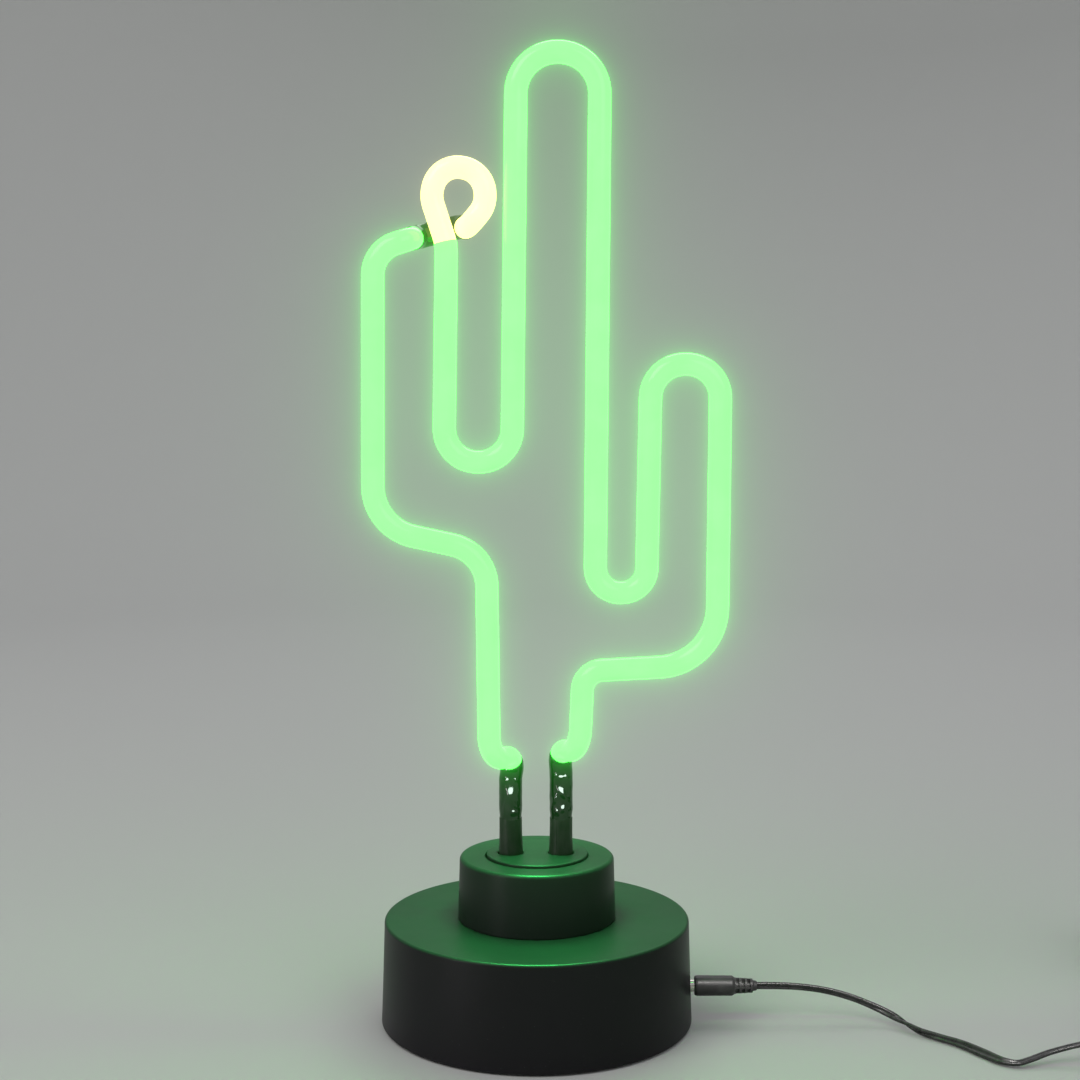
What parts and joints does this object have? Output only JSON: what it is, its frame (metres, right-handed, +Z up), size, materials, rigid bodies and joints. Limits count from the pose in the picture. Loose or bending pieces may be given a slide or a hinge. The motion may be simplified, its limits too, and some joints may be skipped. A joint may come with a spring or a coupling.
{
  "type": "neon advertising sign",
  "caption": "Tabletop neon sculpture: one bent glass tube in a cactus outline with a loop flower, standing on a round two-step base fed by a low-voltage plug.",
  "frame": {"origin": "on the round base's axis, at the surface that the sign stands on", "axes": "+Z up; +X to the viewer's right, the way the power plug comes out of the base; +Y away from the viewer, to the sign's back"},
  "size_m": [0.4004, 0.1602, 0.4257],
  "materials": {
    "lit_green_glass": "gloss",
    "lit_cream_glass": "gloss",
    "black_paint": "gloss",
    "clear_glass": "gloss",
    "base_plastic": "satin",
    "dark_plastic": "matte",
    "boot_rubber": "satin",
    "felt": "matte",
    "steel": "satin",
    "nickel": "gloss",
    "brass": "satin",
    "aluminium": "satin",
    "circuit_board": "satin",
    "ferrite": "matte",
    "winding_tape": "satin",
    "copper_winding": "gloss",
    "capacitor_sleeve": "satin",
    "ceramic_blue": "satin",
    "red_silicone": "matte",
    "moulded_pvc": "satin",
    "lead_pvc": "satin"
  },
  "bodies": {
    "sign": {"glass_left_arm": "lit_green_glass", "glass_stem": "lit_green_glass", "glass_trunk": "lit_green_glass", "glass_right_arm": "lit_green_glass", "glass_flower": "lit_cream_glass", "painted_leg_left": "black_paint", "painted_leg_right": "black_paint", "painted_crossover": "black_paint", "electrode_glass_left": "clear_glass", "electrode_glass_right": "clear_glass", "electrode_shell_left": "nickel", "electrode_shell_right": "nickel", "electrode_wire_left": "nickel", "electrode_wire_right": "nickel", "jack_pin": "nickel", "boot_left": "boot_rubber", "boot_right": "boot_rubber", "socket_contact_left": "brass", "socket_contact_right": "brass", "base_housing": "base_plastic", "base_collar": "base_plastic", "inset_disc": "base_plastic", "tube_holder": "dark_plastic", "bottom_plate": "dark_plastic", "power_transistor": "dark_plastic", "fuse_holder": "dark_plastic", "power_jack": "dark_plastic", "felt_pad": "felt", "cover_screw_1": "steel", "cover_screw_2": "steel", "cover_screw_3": "steel", "cover_screw_4": "steel", "board_screw_1": "steel", "board_screw_2": "steel", "board_screw_3": "steel", "board_screw_4": "steel", "circuit_board": "circuit_board", "transformer_core": "ferrite", "transformer_winding": "winding_tape", "heat_sink": "aluminium", "input_capacitor": "capacitor_sleeve", "output_capacitor": "ceramic_blue", "choke": "copper_winding", "high_voltage_lead_left": "red_silicone", "high_voltage_lead_right": "red_silicone"},
    "power_lead": {"plug_barrel": "nickel", "plug_insulator": "dark_plastic", "plug_handle": "moulded_pvc", "cord_run": "lead_pvc", "cord_coil": "lead_pvc", "coil_tie": "lead_pvc", "cord_tail": "lead_pvc", "adapter_strain_relief": "moulded_pvc", "adapter_front_case": "moulded_pvc", "adapter_back_case": "moulded_pvc", "adapter_blade_left": "brass", "adapter_blade_right": "brass"}
  },
  "joints": [
    {"name": "plug_slide", "type": "slide", "parent": "sign", "child": "power_lead", "axis": [1, 0, 0], "range_m": [0, 0.012]}
  ]
}
